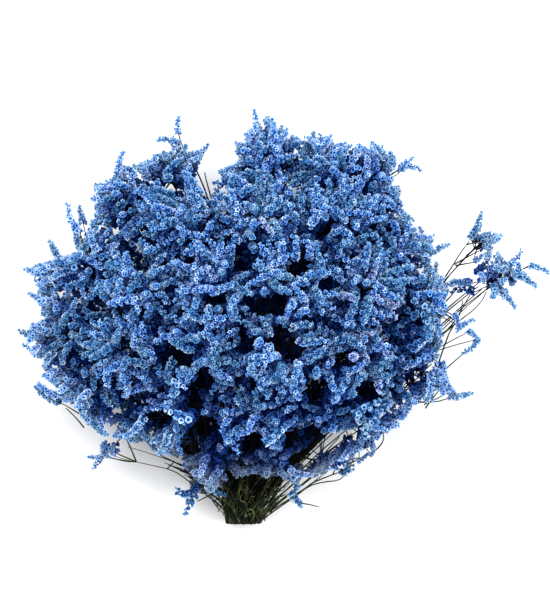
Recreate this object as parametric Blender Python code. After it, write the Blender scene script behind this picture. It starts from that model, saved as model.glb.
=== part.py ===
# A cut bunch of dried statice, dyed blue, lying on a table.
# Eighteen stems are pressed together at the cut end. Each forks into two or three branches, and
# each branch carries a flower head. A head is one body: a small core with a stalk and up to nineteen
# branchlets, whose florets are raised on it as relief, larger than life.
# Lengths are in metres, +Z is up, the table is z = 0, and the stems run towards +Y.

import math
import random

import bmesh
import bpy
import numpy as np
from mathutils import Matrix, Vector

mm = 0.001

# Neck, where the cut stems are pressed together. Its direction is along the stems, and the apex is
# the point behind the cut that they spread from.
neck_middle = (-32 * mm, -161 * mm, 16.5 * mm)
neck_direction = (0.02, 1, 0.35)
neck_radius = 14 * mm
apex_depth = 50 * mm
spread_length = 70 * mm
widest_aim = 1.7
cut_overrun = 8 * mm

# Stems
trunk_radius = 1.7 * mm
fork_radius = 1.35 * mm
tip_radius = 0.95 * mm
second_branch = 0.95
fork_share = 0.38
approach_share = 0.6
trunk_points = 5
branch_points = 7
joint_gap = 0.3 * mm
stem_clearance = 1.2 * mm
head_clearance = 1.6 * mm
easing_rounds = 160

# Flower heads
core_radius = 15.5 * mm
stalk_depth = 21 * mm
stalk_radius = 2.2 * mm
full_reach = 40 * mm
# Each ring of florets on a branchlet: share of the branchlet's length, radius
long_rings = ((0.28, 6.6 * mm), (0.55, 8.2 * mm), (0.80, 6.0 * mm))
short_rings = ((0.36, 6.6 * mm), (0.74, 6.2 * mm))
long_branchlet = 27 * mm
least_branchlet = 8 * mm
shortening = 0.95
branchlet_bend = 5 * mm
fan_in = 0.88
fan_curl = 0.1
cell_margin = 0.6 * mm
stem_margin = 1.6 * mm
press_depth = 3.5 * mm
seed = 7

# The bunch's middle and half sizes, which set the way that each head faces
bunch_middle = (-30 * mm, -35 * mm, 92 * mm)
bunch_half = (200 * mm, 165 * mm, 105 * mm)
outward_share = 0.55
underside_height = 60 * mm
underside_pitch = 0.2

# One row for each stem, with its two or three heads. A head is (x, y, z, reach) in millimetres:
# the middle of its core, and how far its branchlets go from there.
stem_heads = (
    # Rim of the bunch, clockwise from the cut end as seen from above
    ((-64, -134, 38, 28), (-141, -108, 62, 17)),
    ((-104, -80, 82, 42), (-156, -53, 92, 42)),
    ((-170, -8, 104, 42), (-158, 42, 108, 42)),
    ((-124, 88, 106, 42), (-88, 112, 102, 40)),
    ((-13, 120, 108, 46), (32, 110, 112, 44)),
    ((72, 100, 106, 42), (92, 58, 112, 40)),
    ((158, 59, 96, 28), (178, 32, 92, 34)),
    ((108, 14, 106, 42), (106, -38, 96, 44)),
    ((60, -82, 80, 42), (26, -116, 64, 32)),
    # Side that faces up
    ((-106, 26, 152, 44), (-116, -22, 142, 44), (-74, -70, 124, 40)),
    ((-76, 76, 148, 44), (-52, 24, 180, 44), (-62, -26, 172, 42)),
    ((-18, 74, 160, 44), (-5, -22, 180, 44), (-20, -72, 140, 42)),
    ((38, 74, 150, 44), (6, 28, 184, 44)),
    ((60, 22, 158, 44), (50, -28, 152, 42), (30, -72, 124, 40)),
    ((-48, -108, 84, 34), (-10, -112, 94, 34)),
    # Underside, pressed on the table
    ((-76, 64, 36, 46), (-116, 10, 36, 46), (-82, -44, 36, 45)),
    ((-14, 68, 36, 46), (-46, 12, 36, 46), (-12, -46, 36, 45)),
    ((44, 66, 36, 46), (24, 12, 36, 46)),
)

stem_colour = (0.105, 0.095, 0.045)
flower_colour = (0.085, 0.20, 0.56)


def clear_scene():
    for obj in list(bpy.data.objects):
        bpy.data.objects.remove(obj)


def plain_material(name, colour, roughness):
    material = bpy.data.materials.new(name)
    material.use_nodes = True
    shader = material.node_tree.nodes["Principled BSDF"]
    shader.inputs["Base Color"].default_value = (*colour, 1)
    shader.inputs["Roughness"].default_value = roughness
    shader.inputs["Metallic"].default_value = 0
    return material


def unit(vector):
    return vector / np.linalg.norm(vector)


def ease(share):
    share = min(max(share, 0), 1)
    return share * share * (3 - 2 * share)


# Frame of the neck: along the stems, to the right, and up
neck = np.array(neck_middle)
neck_axis = unit(np.array(neck_direction))
neck_right = unit(np.cross(neck_axis, (0, 0, 1)))
neck_up = np.cross(neck_right, neck_axis)
apex = neck - neck_axis * apex_depth


# A point as the apex sees it: angles from the neck's axis, to the right and up, and its distance
def seen_from_apex(point):
    offset = point - apex
    distance = np.linalg.norm(offset)
    sideways = np.array((offset @ neck_right, offset @ neck_up))
    angle = math.atan2(np.linalg.norm(sideways), offset @ neck_axis)
    return unit(sideways) * angle, distance


def from_apex(angles, distance):
    angle = np.linalg.norm(angles)
    side = angles / max(angle, 1e-9)
    across = neck_right * side[0] + neck_up * side[1]
    return apex + distance * (math.cos(angle) * neck_axis + math.sin(angle) * across)


# Share of its final angle that a stem has reached at this distance, as in a fountain
def spread(distance):
    return 1 - math.exp(-max(distance - apex_depth, 0) / spread_length)


# The way a head faces: away from the neck and out of the bunch, and level on the underside
def facing(site):
    outward = (site - bunch_middle) / np.square(bunch_half)
    from_neck = unit(site - neck)
    if site[2] < underside_height:
        outward[2] *= underside_pitch
        from_neck[2] = 0
    return unit(outward_share * unit(outward) + (1 - outward_share) * from_neck)


def upright_frame(axis, turn):
    frame = Vector(axis).to_track_quat("Z", "Y").to_matrix() @ Matrix.Rotation(turn, 3, "Z")
    return np.array(frame)


def make_heads(rng):
    heads = []
    for stem, row in enumerate(stem_heads):
        for branch, (*site, reach) in enumerate(row):
            site, reach = np.array(site) * mm, reach * mm
            axis = facing(site)
            scale = min(1, reach / full_reach)
            head = {"name": f"flowers_{stem + 1:02d}{'abc'[branch]}", "stem": stem, "branch": branch}
            head |= {"site": site, "axis": axis, "reach": reach, "scale": scale}
            head["frame"] = upright_frame(axis, rng.uniform(0, 2 * math.pi))
            head["base"] = site - axis * stalk_depth * scale
            heads.append(head)
    return heads


# Even places for the stems in a disc of radius 1, starting from the way that each has to go
def neck_places(aims):
    places = np.array(aims) / widest_aim
    spacing = 1.75 / math.sqrt(len(places))
    edge = 0.88
    for _ in range(300):
        away = places[:, None] - places
        distance = np.linalg.norm(away, axis=2)
        near = (distance < spacing) & (distance > 0)
        push = np.where(near, spacing / distance.clip(1e-9) - 1, 0)
        places += 0.3 * (away * push[:, :, None]).sum(axis=1)
        places *= edge / np.linalg.norm(places, axis=1).clip(edge)[:, None]
    return places


# Each stem's trunk, from the cut end to the fork, and its branches, from there to the heads
def stem_lines(heads):
    groups = [[head for head in heads if head["stem"] == stem] for stem in range(len(stem_heads))]
    ends = [[seen_from_apex(head["base"]) for head in group] for group in groups]
    roots = neck_places([sum(angles for angles, _ in group) / len(group) for group in ends])
    roots *= neck_radius / apex_depth
    lines = []
    for group, group_ends, root in zip(groups, ends, roots):
        targets = [(angles - (1 - spread(far)) * root) / spread(far) for angles, far in group_ends]
        shared = sum(targets) / len(targets)
        fork = apex_depth + fork_share * (min(far for _, far in group_ends) - apex_depth)
        trunk = []
        for distance in np.linspace(apex_depth - cut_overrun, fork, trunk_points):
            share = spread(distance)
            trunk.append(from_apex((1 - share) * root + share * shared, distance))
        branches = []
        for head, target, (_, far) in zip(group, targets, group_ends):
            branch = []
            for step in np.linspace(0, 1, branch_points + 1)[1:]:
                distance = fork + step * (far - fork)
                share = spread(distance)
                angles = (1 - share) * root + share * (shared + (target - shared) * ease(step))
                free = from_apex(angles, distance)
                straight = head["base"] - head["axis"] * (1 - step) * (far - fork)
                turn = ease((step - approach_share) / (1 - approach_share))
                branch.append(free + (straight - free) * turn)
            branches.append(branch)
        lines.append((trunk, branches))
    return lines


# All stems as one list of points, with the segments between them: ends, radius, stem, own head
def joined_lines(lines):
    points, held, segments = [], [], []
    own = 0
    for stem, (trunk, branches) in enumerate(lines):
        first = len(points)
        points += trunk
        held += [True, True] + [False] * (len(trunk) - 2)
        segments += [(i, i + 1, trunk_radius, stem, -1) for i in range(first, len(points) - 1)]
        fork = len(points) - 1
        for branch in branches:
            ends = [fork, *range(len(points), len(points) + len(branch))]
            points += branch
            held += [False] * (len(branch) - 2) + [True, True]
            segments += [(i, j, fork_radius, stem, own) for i, j in zip(ends, ends[1:])]
            own += 1
    return np.array(points), np.array(held), segments


# Sum of the pushes that move each point out of what it is too close to
def pushed_off(away, need):
    gap = np.linalg.norm(away, axis=2).clip(1e-6)
    return (away * ((need - gap).clip(0) / gap)[:, :, None]).sum(axis=1)


# Bends the stems clear of each other and of the heads that they pass
def ease_apart(lines, heads):
    points, held, segments = joined_lines(lines)
    first, last, radii, stems, own = (np.array(column) for column in zip(*segments))
    balls = []
    for number, head in enumerate(heads):
        balls.append((number, head["site"], core_radius * head["scale"]))
        balls.append((number, head["site"] + 0.8 * (head["base"] - head["site"]), 3 * stalk_radius))
    ball_heads, ball_places, ball_radii = (np.array(column) for column in zip(*balls))
    stem_need = (radii[:, None] + radii + stem_clearance) * (stems[:, None] != stems)
    head_need = (radii[:, None] + ball_radii + head_clearance) * (own[:, None] != ball_heads)
    start = points.copy()
    for _ in range(easing_rounds):
        begin, along = points[first], points[last] - points[first]
        move, count = np.zeros_like(points), np.zeros(len(points))
        for share in (0.1, 0.37, 0.63, 0.9):
            here = begin + share * along
            offset = here[:, None] - begin
            step = np.clip((offset * along).sum(axis=2) / (along * along).sum(axis=1), 0, 1)
            push = pushed_off(offset - step[:, :, None] * along, stem_need) / 2
            push += pushed_off(here[:, None] - ball_places, head_need)
            for ends, weight in ((first, 1 - share), (last, share)):
                np.add.at(move, ends, push * weight)
                np.add.at(count, ends, weight * push.any(axis=1))
        points[~held] += 0.8 * (move / count.clip(1)[:, None])[~held]
        bend = points - start
        near, ties = np.zeros_like(bend), np.zeros(len(bend))
        for ends, others in ((first, last), (last, first)):
            np.add.at(near, ends, bend[others])
            np.add.at(ties, ends, 1)
        points[~held] += 0.1 * (near / ties[:, None] - bend)[~held]
    eased, at = [], 0
    for trunk, branches in lines:
        pieces = []
        for piece in (trunk, *branches):
            pieces.append(list(points[at : at + len(piece)]))
            at += len(piece)
        eased.append((pieces[0], pieces[1:]))
    return eased


# A four-sided tube through the points, closed at both ends
def tube(name, points, radii):
    curve = bpy.data.curves.new(name, "CURVE")
    curve.dimensions = "3D"
    curve.bevel_depth = 1
    curve.bevel_resolution = 0
    curve.use_fill_caps = True
    spline = curve.splines.new("POLY")
    spline.points.add(len(points) - 1)
    for knot, point, radius in zip(spline.points, points, radii):
        knot.co = (*point, 1)
        knot.radius = radius
    guide = bpy.data.objects.new(name, curve)
    bpy.context.scene.collection.objects.link(guide)
    graph = bpy.context.evaluated_depsgraph_get()
    mesh = bpy.data.meshes.new_from_object(guide.evaluated_get(graph))
    bpy.data.objects.remove(guide)
    edit = bmesh.new()
    edit.from_mesh(mesh)
    bmesh.ops.remove_doubles(edit, verts=edit.verts, dist=1e-6)
    bmesh.ops.recalc_face_normals(edit, faces=edit.faces)
    edit.to_mesh(mesh)
    edit.free()
    return mesh


# Removes what lies past a plane and closes the cut with a flat face
def trim(edit, point, normal):
    whole = edit.verts[:] + edit.edges[:] + edit.faces[:]
    bmesh.ops.bisect_plane(edit, geom=whole, plane_co=point, plane_no=normal, clear_outer=True, dist=1e-7)
    rim = [edge for edge in edit.edges if edge.is_boundary]
    if rim:
        bmesh.ops.holes_fill(edit, edges=rim, sides=0)


def add_object(name, mesh, material):
    mesh.materials.clear()
    mesh.materials.append(material)
    obj = bpy.data.objects.new(name, mesh)
    bpy.context.scene.collection.objects.link(obj)
    return obj


def make_stem(name, trunk, branches, material):
    trunk_radii = [*np.linspace(trunk_radius, fork_radius, len(trunk))]
    radii = [*np.linspace(fork_radius, tip_radius, branch_points)]
    stem = add_object(name, tube(name, trunk + branches[0], trunk_radii + radii), material)
    others = []
    for branch in branches[1:]:
        radii_from_fork = second_branch * np.array([fork_radius, *radii])
        mesh = tube(name + "_branch", [trunk[-1], *branch], radii_from_fork)
        others.append(add_object(mesh.name, mesh, material))
        join = stem.modifiers.new("join", "BOOLEAN")
        join.operation = "UNION"
        join.object = others[-1]
    graph = bpy.context.evaluated_depsgraph_get()
    joined = bpy.data.meshes.new_from_object(stem.evaluated_get(graph))
    stem.modifiers.clear()
    stem.data = joined
    for other in others:
        bpy.data.objects.remove(other)
    edit = bmesh.new()
    edit.from_mesh(joined)
    trim(edit, neck, -neck_axis)
    bmesh.ops.triangulate(edit, faces=edit.faces)
    edit.to_mesh(joined)
    edit.free()
    joined.shade_smooth()
    joined.set_sharp_from_angle(angle=math.radians(60))


# Draws a head's points towards its axis, more so further out, as a spray's branches curve up
def fan(points):
    distance = np.linalg.norm(points, axis=1)
    far = np.clip(distance / core_radius - 1, 0, 2) / 2
    polar = np.arccos(np.clip(points[:, 2] / distance, -1, 1)) * (fan_in - fan_curl * far)
    around = points[:, :2] / np.linalg.norm(points[:, :2], axis=1).clip(1e-9)[:, None]
    flat = around * (distance * np.sin(polar))[:, None]
    return np.column_stack((flat, distance * np.cos(polar)))


# Turns and moves points from a head's own frame, where +Z is its axis, to its place in the bunch
def placed(points, head):
    return points @ head["frame"].T + head["site"]


# A branchlet's rings of florets and its tip, grown from one face of the core
def branchlet(outline, length, bend, head):
    middle = outline.mean(axis=0)
    outward = unit(middle)
    spokes = outline - middle
    spokes /= np.linalg.norm(spokes, axis=1)[:, None]
    across = np.cross(outward, spokes)
    rings = []
    shape = long_rings if length > long_branchlet else short_rings
    for number, (share, radius) in enumerate(shape, start=1):
        turn = math.radians(60) * number
        spoke = spokes * math.cos(turn) + across * math.sin(turn)
        ring = middle + outward * share * length + spoke * radius * head["scale"] + bend * share**2
        rings.append(placed(fan(ring), head))
    tip = placed(fan((middle + outward * length + bend)[None]), head)
    return rings, tip


# Distance from each point to the nearest of the segments
def to_segments(points, starts, ends):
    along = ends - starts
    offset = points[:, None] - starts
    share = np.clip((offset * along).sum(axis=2) / (along * along).sum(axis=1), 0, 1)
    return np.linalg.norm(offset - share[:, :, None] * along, axis=2).min(axis=1)


# Whether a branchlet keeps inside its head's share of the bunch, clear of other heads and stems
def is_clear(rings, tip, head):
    points = np.concatenate([*rings, tip])
    if points[:, 2].min() < -press_depth:
        return False
    if ((points - head["site"]) @ head["walls"] > head["wall_distances"]).any():
        return False
    if to_segments(points, *head["passing_stems"]).min() < trunk_radius + stem_margin:
        return False
    middles = [*(ring.mean(axis=0) for ring in rings), tip[0]]
    radii = [*(np.linalg.norm(ring[0] - ring.mean(axis=0)) for ring in rings), 0]
    shares = np.array((0, 0.33, 0.67))
    for start, end, wide, narrow in zip(middles, middles[1:], radii, radii[1:]):
        spine = start + shares[:, None] * (end - start)
        free = to_segments(spine, *head["passing_stems"]) - (wide + shares * (narrow - wide))
        if free.min() < trunk_radius + stem_margin:
            return False
    return True


# Planes half-way to the other heads, which a head keeps within, and the stems it has to clear:
# all but the last stretch of its own, which runs into it
def set_bounds(heads, lines):
    runs = []
    for stem, (trunk, branches) in enumerate(lines):
        runs.append((stem, None, trunk))
        runs += [(stem, i, [trunk[-1], *branch]) for i, branch in enumerate(branches)]
    for head in heads:
        others = [other for other in heads if other is not head]
        between = np.array([other["site"] for other in others]) - head["site"]
        distance = np.linalg.norm(between, axis=1)
        lead = np.array([head["reach"] - other["reach"] for other in others])
        head["walls"] = (between / distance[:, None]).T
        head["wall_distances"] = distance / 2 + lead / 4 - cell_margin
        passing = []
        for stem, branch, run in runs:
            own = (stem, branch) == (head["stem"], head["branch"])
            passing += list(zip(run, run[1:]))[: -2 if own else None]
        head["passing_stems"] = tuple(np.array(ends) for ends in zip(*passing))


# The longest branchlet of up to this length that is clear, or none
def clear_branchlet(outline, length, bend, head):
    while length > least_branchlet * head["scale"]:
        rings, tip = branchlet(outline, length, bend, head)
        if is_clear(rings, tip, head):
            return rings, tip
        length *= shortening
    return [], None


# Extrudes a face once for each ring of corners, and returns the last face
def extrude_through(edit, face, rings):
    for ring in rings:
        face = bmesh.ops.extrude_discrete_faces(edit, faces=[face])["faces"][0]
        for vert, corner in zip(face.verts, ring):
            vert.co = corner
    return face


def make_head(head, material, rng):
    scale = head["scale"]
    edit = bmesh.new()
    bmesh.ops.create_icosphere(edit, subdivisions=1, radius=core_radius * scale)
    edit.faces.ensure_lookup_table()
    under = edit.faces[0]
    upright = under.normal.rotation_difference(Vector((0, 0, -1))).to_matrix()
    bmesh.ops.rotate(edit, matrix=upright, verts=edit.verts)
    corners = np.array([vert.co for vert in edit.verts])
    outlines = [(face, corners[[vert.index for vert in face.verts]]) for face in edit.faces]
    for vert, corner in zip(edit.verts, placed(fan(corners), head)):
        vert.co = corner
    for face, outline in outlines:
        if face is under:
            spokes = outline * (1, 1, 0)
            stalk = spokes / np.linalg.norm(spokes[0]) * stalk_radius
            stalk[:, 2] = joint_gap - stalk_depth * scale
            extrude_through(edit, face, [placed(stalk, head)])
            continue
        bend = np.array([rng.uniform(-1, 1) for _ in range(3)]) * branchlet_bend * scale
        length = (head["reach"] - np.linalg.norm(outline.mean(axis=0))) * rng.uniform(0.86, 1)
        rings, tip = clear_branchlet(outline, length, bend, head)
        if rings:
            end = extrude_through(edit, face, rings)
            bmesh.ops.poke(edit, faces=[end])["verts"][0].co = tip[0]
    bmesh.ops.triangulate(edit, faces=edit.faces, quad_method="SHORT_EDGE")
    if min(vert.co.z for vert in edit.verts) < 0:
        trim(edit, (0, 0, 0), (0, 0, -1))
        bmesh.ops.triangulate(edit, faces=edit.faces)
    mesh = bpy.data.meshes.new(head["name"])
    edit.to_mesh(mesh)
    edit.free()
    add_object(head["name"], mesh, material)


def main():
    clear_scene()
    stem_material = plain_material("dried_stem", stem_colour, 0.75)
    flower_material = plain_material("dyed_flowers", flower_colour, 0.7)
    rng = random.Random(seed)
    heads = make_heads(rng)
    lines = ease_apart(stem_lines(heads), heads)
    for number, (trunk, branches) in enumerate(lines, start=1):
        make_stem(f"stem_{number:02d}", trunk, branches, stem_material)
    set_bounds(heads, lines)
    for head in heads:
        make_head(head, flower_material, rng)


main()
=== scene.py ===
import math
import random

import bmesh
import bpy
import numpy
from mathutils import Matrix, Vector, kdtree, noise


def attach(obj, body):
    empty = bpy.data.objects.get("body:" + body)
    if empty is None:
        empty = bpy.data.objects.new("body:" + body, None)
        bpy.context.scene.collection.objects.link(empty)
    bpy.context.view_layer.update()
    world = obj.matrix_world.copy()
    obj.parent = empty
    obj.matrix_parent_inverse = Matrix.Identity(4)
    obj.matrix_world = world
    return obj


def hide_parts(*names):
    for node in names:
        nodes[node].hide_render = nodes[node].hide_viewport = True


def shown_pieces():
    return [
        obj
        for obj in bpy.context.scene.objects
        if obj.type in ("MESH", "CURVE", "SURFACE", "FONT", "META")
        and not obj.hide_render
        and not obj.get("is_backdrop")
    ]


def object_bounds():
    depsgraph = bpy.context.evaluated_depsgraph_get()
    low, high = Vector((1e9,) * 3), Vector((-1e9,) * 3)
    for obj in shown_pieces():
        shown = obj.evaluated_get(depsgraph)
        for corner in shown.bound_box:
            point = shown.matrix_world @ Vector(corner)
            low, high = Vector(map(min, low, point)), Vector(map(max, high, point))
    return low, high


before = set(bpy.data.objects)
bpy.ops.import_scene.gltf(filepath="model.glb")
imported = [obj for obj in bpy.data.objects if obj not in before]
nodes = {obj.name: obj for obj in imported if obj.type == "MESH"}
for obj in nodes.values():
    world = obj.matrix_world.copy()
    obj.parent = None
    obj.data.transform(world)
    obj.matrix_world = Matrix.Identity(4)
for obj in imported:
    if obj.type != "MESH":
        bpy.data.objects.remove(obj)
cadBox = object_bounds()
mm = 0.001

bunch = {
    "seed": 11,
    "neckMiddle": Vector((-0.032, -0.161, 0.0165)),
    "neckDirection": Vector((0.02, 1, 0.35)).normalized(),
    "middle": Vector((-0.012, -0.02, 0.09)),
    "halfSize": Vector((0.19, 0.17, 0.13)),
}

# camera: straight down on the bunch, 0.8 mm a pixel at the height of its rim
camera = {
    "above": (-0.0064, 0.018),
    "height": 4.2,
    "focusHeight": 0.12,
    "seenHeight": 0.4728,
    "sensor": 36,
}


def addCamera():
    data = bpy.data.cameras.new("camera")
    data.sensor_width = camera["sensor"]
    away = camera["height"] - camera["focusHeight"]
    data.lens = camera["sensor"] * away / camera["seenHeight"]
    data.clip_end = 20
    seer = bpy.data.objects.new("camera", data)
    seer.location = (*camera["above"], camera["height"])
    bpy.context.scene.collection.objects.link(seer)
    bpy.context.scene.camera = seer


def addObject(name, mesh):
    obj = bpy.data.objects.new(name, mesh)
    bpy.context.scene.collection.objects.link(obj)
    return obj


# merged copy of a frame node's mesh, whose own triangles are loose
def mergedCopy(node):
    edit = bmesh.new()
    edit.from_mesh(nodes[node].data)
    bmesh.ops.remove_doubles(edit, verts=edit.verts, dist=0.01 * mm)
    edit.verts.index_update()
    return edit


# the middle of some vertices, added up in their own order, so that each run gives the same numbers
def middleOf(verts):
    ordered = sorted(verts, key=lambda vert: vert.index)
    return sum((vert.co for vert in ordered), Vector()) / len(ordered)


# stems: the middles of a stem's rings, walked from one end ring until its sides fork
def walkRings(ring):
    seen, line = set(ring), []
    while len(ring) == 4:
        line.append(middleOf(ring))
        ring = {edge.other_vert(vert) for vert in ring for edge in vert.link_edges} - seen
        seen |= ring
    return line


# a stem's trunk from the cut end to its fork, and its branches from there, each with its head's name
def readStem(stem):
    edit = mergedCopy(stem)
    along = bunch["neckDirection"]
    byHeight = sorted(edit.verts, key=lambda vert: vert.co.dot(along))
    trunk = walkRings(byHeight[:4])
    tree = kdtree.KDTree(len(edit.verts))
    for i, vert in enumerate(edit.verts):
        tree.insert(vert.co, i)
    tree.balance()
    edit.verts.ensure_lookup_table()
    branches = {}
    for head in sorted(name for name in nodes if name.startswith("flowers_" + stem[-2:])):
        near = min((tree.find(vert.co) for vert in nodes[head].data.vertices), key=lambda hit: hit[2])
        ends = [edit.verts[i] for _, i, _ in tree.find_n(near[0], 4)]
        branches[head] = list(reversed(walkRings(ends)))
    edit.free()
    return trunk, branches


# heads: a head's middle, the foot of its stalk, and the tip of each branchlet
def readHead(head, stemEnd):
    edit = mergedCopy(head)
    core = [vert for vert in edit.verts if len(vert.link_edges) > 8]
    middle = middleOf(core)
    foot = sorted(edit.verts, key=lambda vert: (vert.co - stemEnd).length)[:3]
    floor = {vert for vert in edit.verts if vert.co.z < 0.01 * mm}
    apart = floor | set(foot)
    tips = [vert.co.copy() for vert in edit.verts if len(vert.link_edges) == 3 and vert not in apart]
    while floor:
        spot = {min(floor, key=lambda vert: vert.index)}
        floor -= spot
        grown = True
        while grown:
            grown = {edge.other_vert(vert) for vert in spot for edge in vert.link_edges} & floor
            spot |= grown
            floor -= grown
        tips.append(middleOf(spot))
    footMiddle = middleOf(foot)
    edit.free()
    return middle, footMiddle, tips


# tubes: tapering tubes through points, many on one curve; smooth is the steps between two points
def newTubes(name, sides=6, smooth=0):
    curve = bpy.data.curves.new(name, "CURVE")
    curve.dimensions = "3D"
    curve.bevel_depth = 1
    curve.bevel_resolution = (sides - 4) // 2
    curve.resolution_u = max(1, smooth)
    curve.use_fill_caps = True
    return curve


def addTube(curve, points, radii):
    spline = curve.splines.new("NURBS" if curve.resolution_u > 1 else "POLY")
    spline.points.add(len(points) - 1)
    for knot, point, radius in zip(spline.points, points, radii):
        knot.co = (*point, 1)
        knot.radius = radius
    if spline.type == "NURBS":
        spline.order_u = min(4, len(points))
        spline.use_endpoint_u = True


def meshFromTubes(curve):
    holder = bpy.data.objects.new(curve.name, curve)
    bpy.context.scene.collection.objects.link(holder)
    graph = bpy.context.evaluated_depsgraph_get()
    mesh = bpy.data.meshes.new_from_object(holder.evaluated_get(graph))
    bpy.data.objects.remove(holder)
    return mesh


# floret: a papery five-lobed rosette on a short tube, about 4.5 mm across, its throat sunk in the middle
floret = {
    "depth": 3.4 * mm,
    "rimRadius": 2.25 * mm,
    "notchRadius": 1.5 * mm,
    "notchDrop": 0.45 * mm,
    "throatDrop": 1.2 * mm,
    "crinkle": 0.3 * mm,
    "footRadius": 0.1 * mm,
    "kinds": 6,
    # how pale each place is, from the dark throat to the lobes; the throat's near-black is painted shade in
    # the sunk throat
    "throatPaintedShade": 0,
    "bodyShade": 0.15,
    "notchShade": (0.5, 0.7),
    "lobeShade": (0.75, 1),
}


# lobed florets have a notch between each two lobes; the plain ones, for deep places, are five-cornered
def makeFloret(lobed, rng):
    edit = bmesh.new()
    shade = edit.verts.layers.float.new("bloomShade")
    foot, rim, depth = floret["footRadius"], floret["rimRadius"], floret["depth"]
    bmesh.ops.create_cone(
        edit, cap_ends=True, segments=10 if lobed else 5, radius1=foot, radius2=rim, depth=depth
    )
    bmesh.ops.translate(edit, vec=(0, 0, depth / 2), verts=edit.verts)
    bmesh.ops.pointmerge(edit, verts=[v for v in edit.verts if v.co.z < depth / 2], merge_co=(0, 0, 0))
    rimVerts = sorted((v for v in edit.verts if v.co.z > depth / 2), key=lambda v: math.atan2(v.co.y, v.co.x))
    mouth = [face for face in edit.faces if len(face.verts) > 3]
    centre = bmesh.ops.poke(edit, faces=mouth)["verts"][0]
    centre.co.z -= floret["throatDrop"]
    for vert in edit.verts:
        vert[shade] = floret["bodyShade"]
    for number, vert in enumerate(rimVerts):
        notch = lobed and number % 2
        if notch:
            vert.co.xy *= floret["notchRadius"] / rim
            vert.co.z -= floret["notchDrop"]
        vert.co += Vector([rng.uniform(-1, 1) for _ in range(3)]) * floret["crinkle"]
        vert[shade] = rng.uniform(*floret["notchShade" if notch else "lobeShade"])
    # the sunk throat's centre gets painted shade, near-black
    centre[shade] = floret["throatPaintedShade"]
    mesh = bpy.data.meshes.new("floret")
    edit.to_mesh(mesh)
    edit.free()
    return mesh


# spike: an arched axis with florets; "round" has them all round, the others up to "side" degrees from
# the outer side. Those past "lobed" radians are plain, and those that face sideways get painted shade
spike = {
    "lengths": (16 * mm, 20 * mm, 24 * mm, 28 * mm),
    "kindsOfEach": 4,
    "styles": {
        "round": {"lobed": 1.5, "pitch": 0.86 * mm, "side": 180, "size": 1.02, "sidePaintedShade": 0.12},
        "outer": {"lobed": 1.2, "pitch": 1.06 * mm, "side": 128, "size": 1.05, "sidePaintedShade": 0.4},
        "deep": {"lobed": 0, "pitch": 1.4 * mm, "side": 150, "size": 1.22, "sidePaintedShade": 0.42},
    },
    "axisRadius": 0.7 * mm,
    "axisSteps": (0, 0.3, 0.65, 1),
    "axisTaper": (0.8, 1, 0.9, 0.4),
    "axisShade": 0.25,
    "arch": 0.42,
    "archRange": (0.3, 1.25),
    "sway": 0.16,
    "bareShare": 0.05,
    "leanFoot": math.radians(84),
    "leanTip": math.radians(34),
    "footSize": 1.04,
    "tipSize": 0.78,
    "goldenTurn": 0.618,
    "stray": {"place": 0.25, "lean": 0.32, "around": 0.2},
    "sizeRange": (0.8, 1.14),
    "shadeRange": (0.8, 1.08),
}


def placed(edit, mesh, matrix):
    first = len(edit.verts)
    edit.from_mesh(mesh)
    edit.verts.ensure_lookup_table()
    fresh = edit.verts[first:]
    bmesh.ops.transform(edit, matrix=matrix, verts=fresh)
    return fresh


def makeSpike(length, style, florets, rng):
    arch = length * spike["arch"] * rng.uniform(*spike["archRange"])
    sway = length * spike["sway"] * rng.uniform(-1, 1)

    def axisPoint(share):
        return Vector((-arch * share**2, sway * math.sin(2.6 * share), length * share))

    curve = newTubes("spikeAxis", sides=4)
    radii = [spike["axisRadius"] * part for part in spike["axisTaper"]]
    addTube(curve, [axisPoint(step) for step in spike["axisSteps"]], radii)
    axisMesh = meshFromTubes(curve)
    edit = bmesh.new()
    shade = edit.verts.layers.float.new("bloomShade")
    edit.from_mesh(axisMesh)
    for vert in edit.verts:
        vert[shade] = spike["axisShade"]
    count = round(length / style["pitch"]) + rng.randint(-1, 1)
    stray, side = spike["stray"], math.radians(style["side"])
    for i in range(count):
        place = i + rng.uniform(-stray["place"], stray["place"])
        share = spike["bareShare"] + (1 - spike["bareShare"]) * place / (count - 1)
        share = min(max(share, 0), 1)
        along = axisPoint(share + 0.05) - axisPoint(share)
        lean = spike["leanFoot"] + (spike["leanTip"] - spike["leanFoot"]) * share**3
        lean += rng.uniform(-stray["lean"], stray["lean"])
        around = ((i * spike["goldenTurn"]) % 1 * 2 - 1) * min(side * (1 + 0.4 * share), math.pi)
        around += rng.uniform(-stray["around"], stray["around"])
        upright = along.to_track_quat("Z", "X").to_matrix()
        outer = upright.inverted() @ Vector((1, 0, 0))
        facing = Matrix.Rotation(math.atan2(outer.y, outer.x) + around, 4, "Z")
        tilt = Matrix.Rotation(lean, 4, "Y")
        size = style["size"] * (spike["footSize"] + (spike["tipSize"] - spike["footSize"]) * share)
        roll = Matrix.Rotation(rng.uniform(0, math.tau), 4, "Z")
        turn = upright.to_4x4() @ facing @ tilt @ roll
        size *= rng.uniform(*spike["sizeRange"])
        matrix = Matrix.Translation(axisPoint(share)) @ turn @ Matrix.Scale(size, 4)
        lobed = abs(around) < style["lobed"]
        # florets that face sideways get painted shade; the random part is each floret's own tone
        sideShadeAndTone = (1 - style["sidePaintedShade"] * (1 - max(0, math.cos(around)))) * rng.uniform(*spike["shadeRange"])
        for vert in placed(edit, rng.choice(florets[lobed]), matrix):
            vert[shade] *= sideShadeAndTone
    # the tip comes to stand above the foot, so the arch bows to the outer side
    chord = axisPoint(1)
    level = chord.rotation_difference(Vector((0, 0, 1))).to_matrix().to_4x4()
    bmesh.ops.transform(edit, matrix=Matrix.Scale(length / chord.length, 4) @ level, verts=edit.verts)
    mesh = bpy.data.meshes.new("spike")
    edit.to_mesh(mesh)
    edit.free()
    return mesh


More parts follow.
